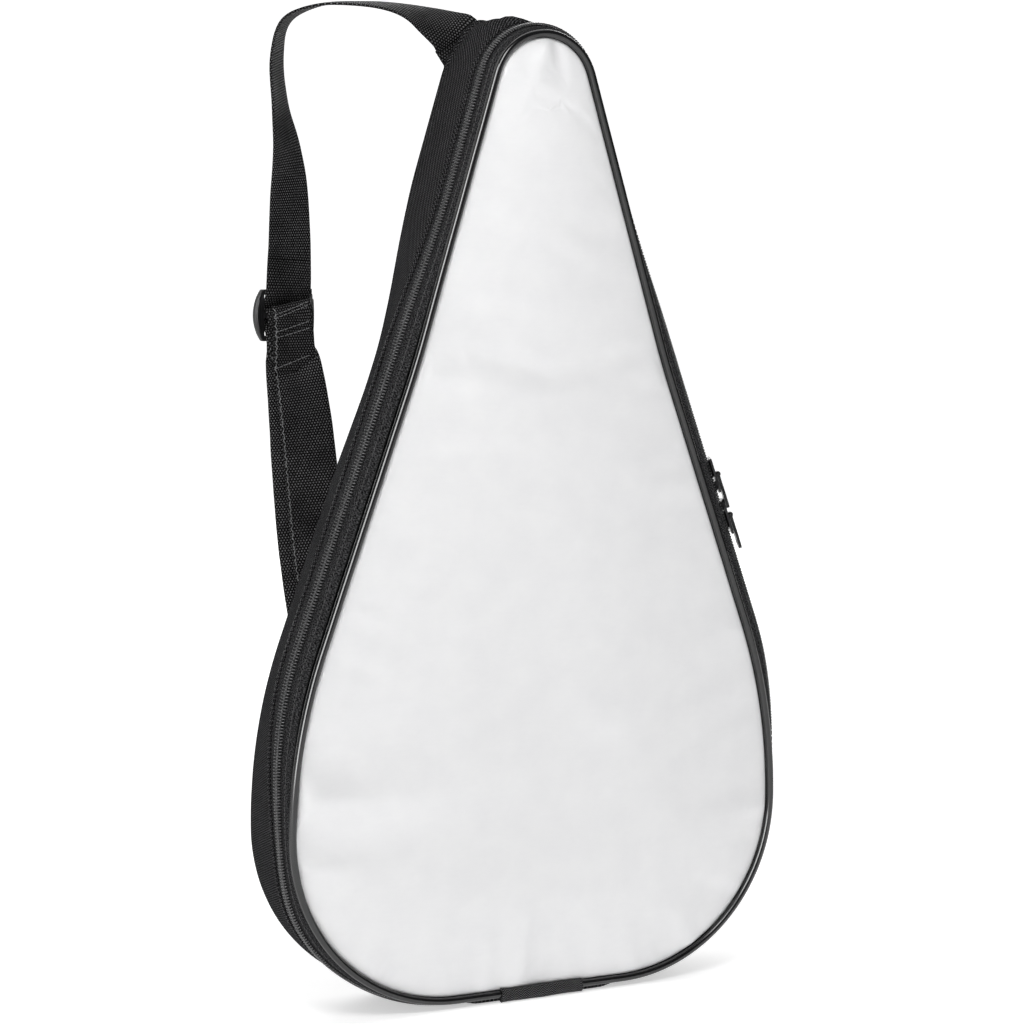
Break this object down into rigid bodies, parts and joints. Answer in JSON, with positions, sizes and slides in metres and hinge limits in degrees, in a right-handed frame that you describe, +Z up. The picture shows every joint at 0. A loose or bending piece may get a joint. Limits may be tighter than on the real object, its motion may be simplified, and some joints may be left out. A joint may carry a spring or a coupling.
{
  "type": "padded paddle case",
  "caption": "Upright teardrop padded case with a white front cover that unzips round a fabric hinge at its flat base, and an adjustable webbing shoulder strap at the back.",
  "frame": {"origin": "middle of the flat underside of the base panel, half way between the front and back seams over the head", "axes": "+Z up to the rounded top, the white cover faces -Y, +X to the side with the zip's sliders"},
  "size_m": [0.2984, 0.1395, 0.5286],
  "materials": {
    "white_cloth": "satin printed-polyester weave, padded",
    "black_cloth": "matte 600-denier twill",
    "foam": "closed-cell foam",
    "lining": "thin plain-weave lining",
    "piping_vinyl": "glossy vinyl over a cord",
    "sleeve_cloth": "herringbone twill tape",
    "binding": "plain-weave binding tape",
    "zip_tape": "fine twill tape",
    "zip_coil": "semi-matte nylon coil",
    "slider_metal": "satin black paint",
    "webbing": "coarse dotted weave",
    "strap_plastic": "moulded, slightly polished",
    "ring_metal": "satin black paint"
  },
  "bodies": {
    "back_shell": {"back_panel": "black_cloth", "back_padding": "foam", "back_lining": "lining", "back_seam_binding": "binding", "gusset_band": "black_cloth", "rear_zip_tape": "zip_tape", "rear_zip_coil": "zip_coil", "hinge_panel": "black_cloth", "strap_root": "webbing", "lower_tab": "webbing"},
    "front_cover": {"front_panel": "white_cloth", "front_padding": "foam", "front_lining": "lining", "front_piping": "piping_vinyl", "piping_sleeve": "sleeve_cloth", "front_seam_binding": "binding", "front_zip_tape": "zip_tape", "front_zip_coil": "zip_coil"},
    "upper_slider": {"upper_slider_body": "slider_metal"},
    "upper_pull": {"upper_pull_tab": "slider_metal"},
    "lower_slider": {"lower_slider_body": "slider_metal"},
    "lower_pull": {"lower_pull_tab": "slider_metal"},
    "ring": {"strap_ring": "ring_metal"},
    "strap": {"shoulder_strap": "webbing"},
    "strap_adjuster": {"strap_slider": "strap_plastic"}
  },
  "joints": [
    {"name": "cover_hinge", "type": "hinge", "parent": "back_shell", "child": "front_cover", "pos_m": [0, -0.025, 0.0034], "axis": [1, 0, 0], "range_deg": [0, 90]},
    {"name": "upper_zip_slide", "type": "slide", "parent": "back_shell", "child": "upper_slider", "axis": [-0.342, 0, 0.9397], "range_m": [0, 0.045]},
    {"name": "lower_zip_slide", "type": "slide", "parent": "back_shell", "child": "lower_slider", "axis": [0.342, 0, -0.9397], "range_m": [0, 0.045]},
    {"name": "upper_pull_swing", "type": "hinge", "parent": "upper_slider", "child": "upper_pull", "pos_m": [0.11099, -0.01877, 0.27531], "axis": [-0.3534, -0.9266, -0.1286], "range_deg": [0, 150]},
    {"name": "lower_pull_swing", "type": "hinge", "parent": "lower_slider", "child": "lower_pull", "pos_m": [0.1192, -0.01877, 0.25276], "axis": [-0.3534, -0.9266, -0.1286], "range_deg": [0, 150]},
    {"name": "ring_swivel", "type": "hinge", "parent": "back_shell", "child": "ring", "pos_m": [-0.01543, 0.02828, 0.04838], "axis": [0.766, 0, 0.6428], "range_deg": [-5, 5]},
    {"name": "strap_swing", "type": "hinge", "parent": "back_shell", "child": "strap", "pos_m": [-0.01987, 0.0345, 0.50655], "axis": [0.0101, -0.0079, 0.9999], "range_deg": [-8, 8]},
    {"name": "strap_adjust", "type": "slide", "parent": "strap", "child": "strap_adjuster", "axis": [0, 0, 1], "range_m": [-0.02, 0.02], "deforming": ["shoulder_strap"]}
  ]
}
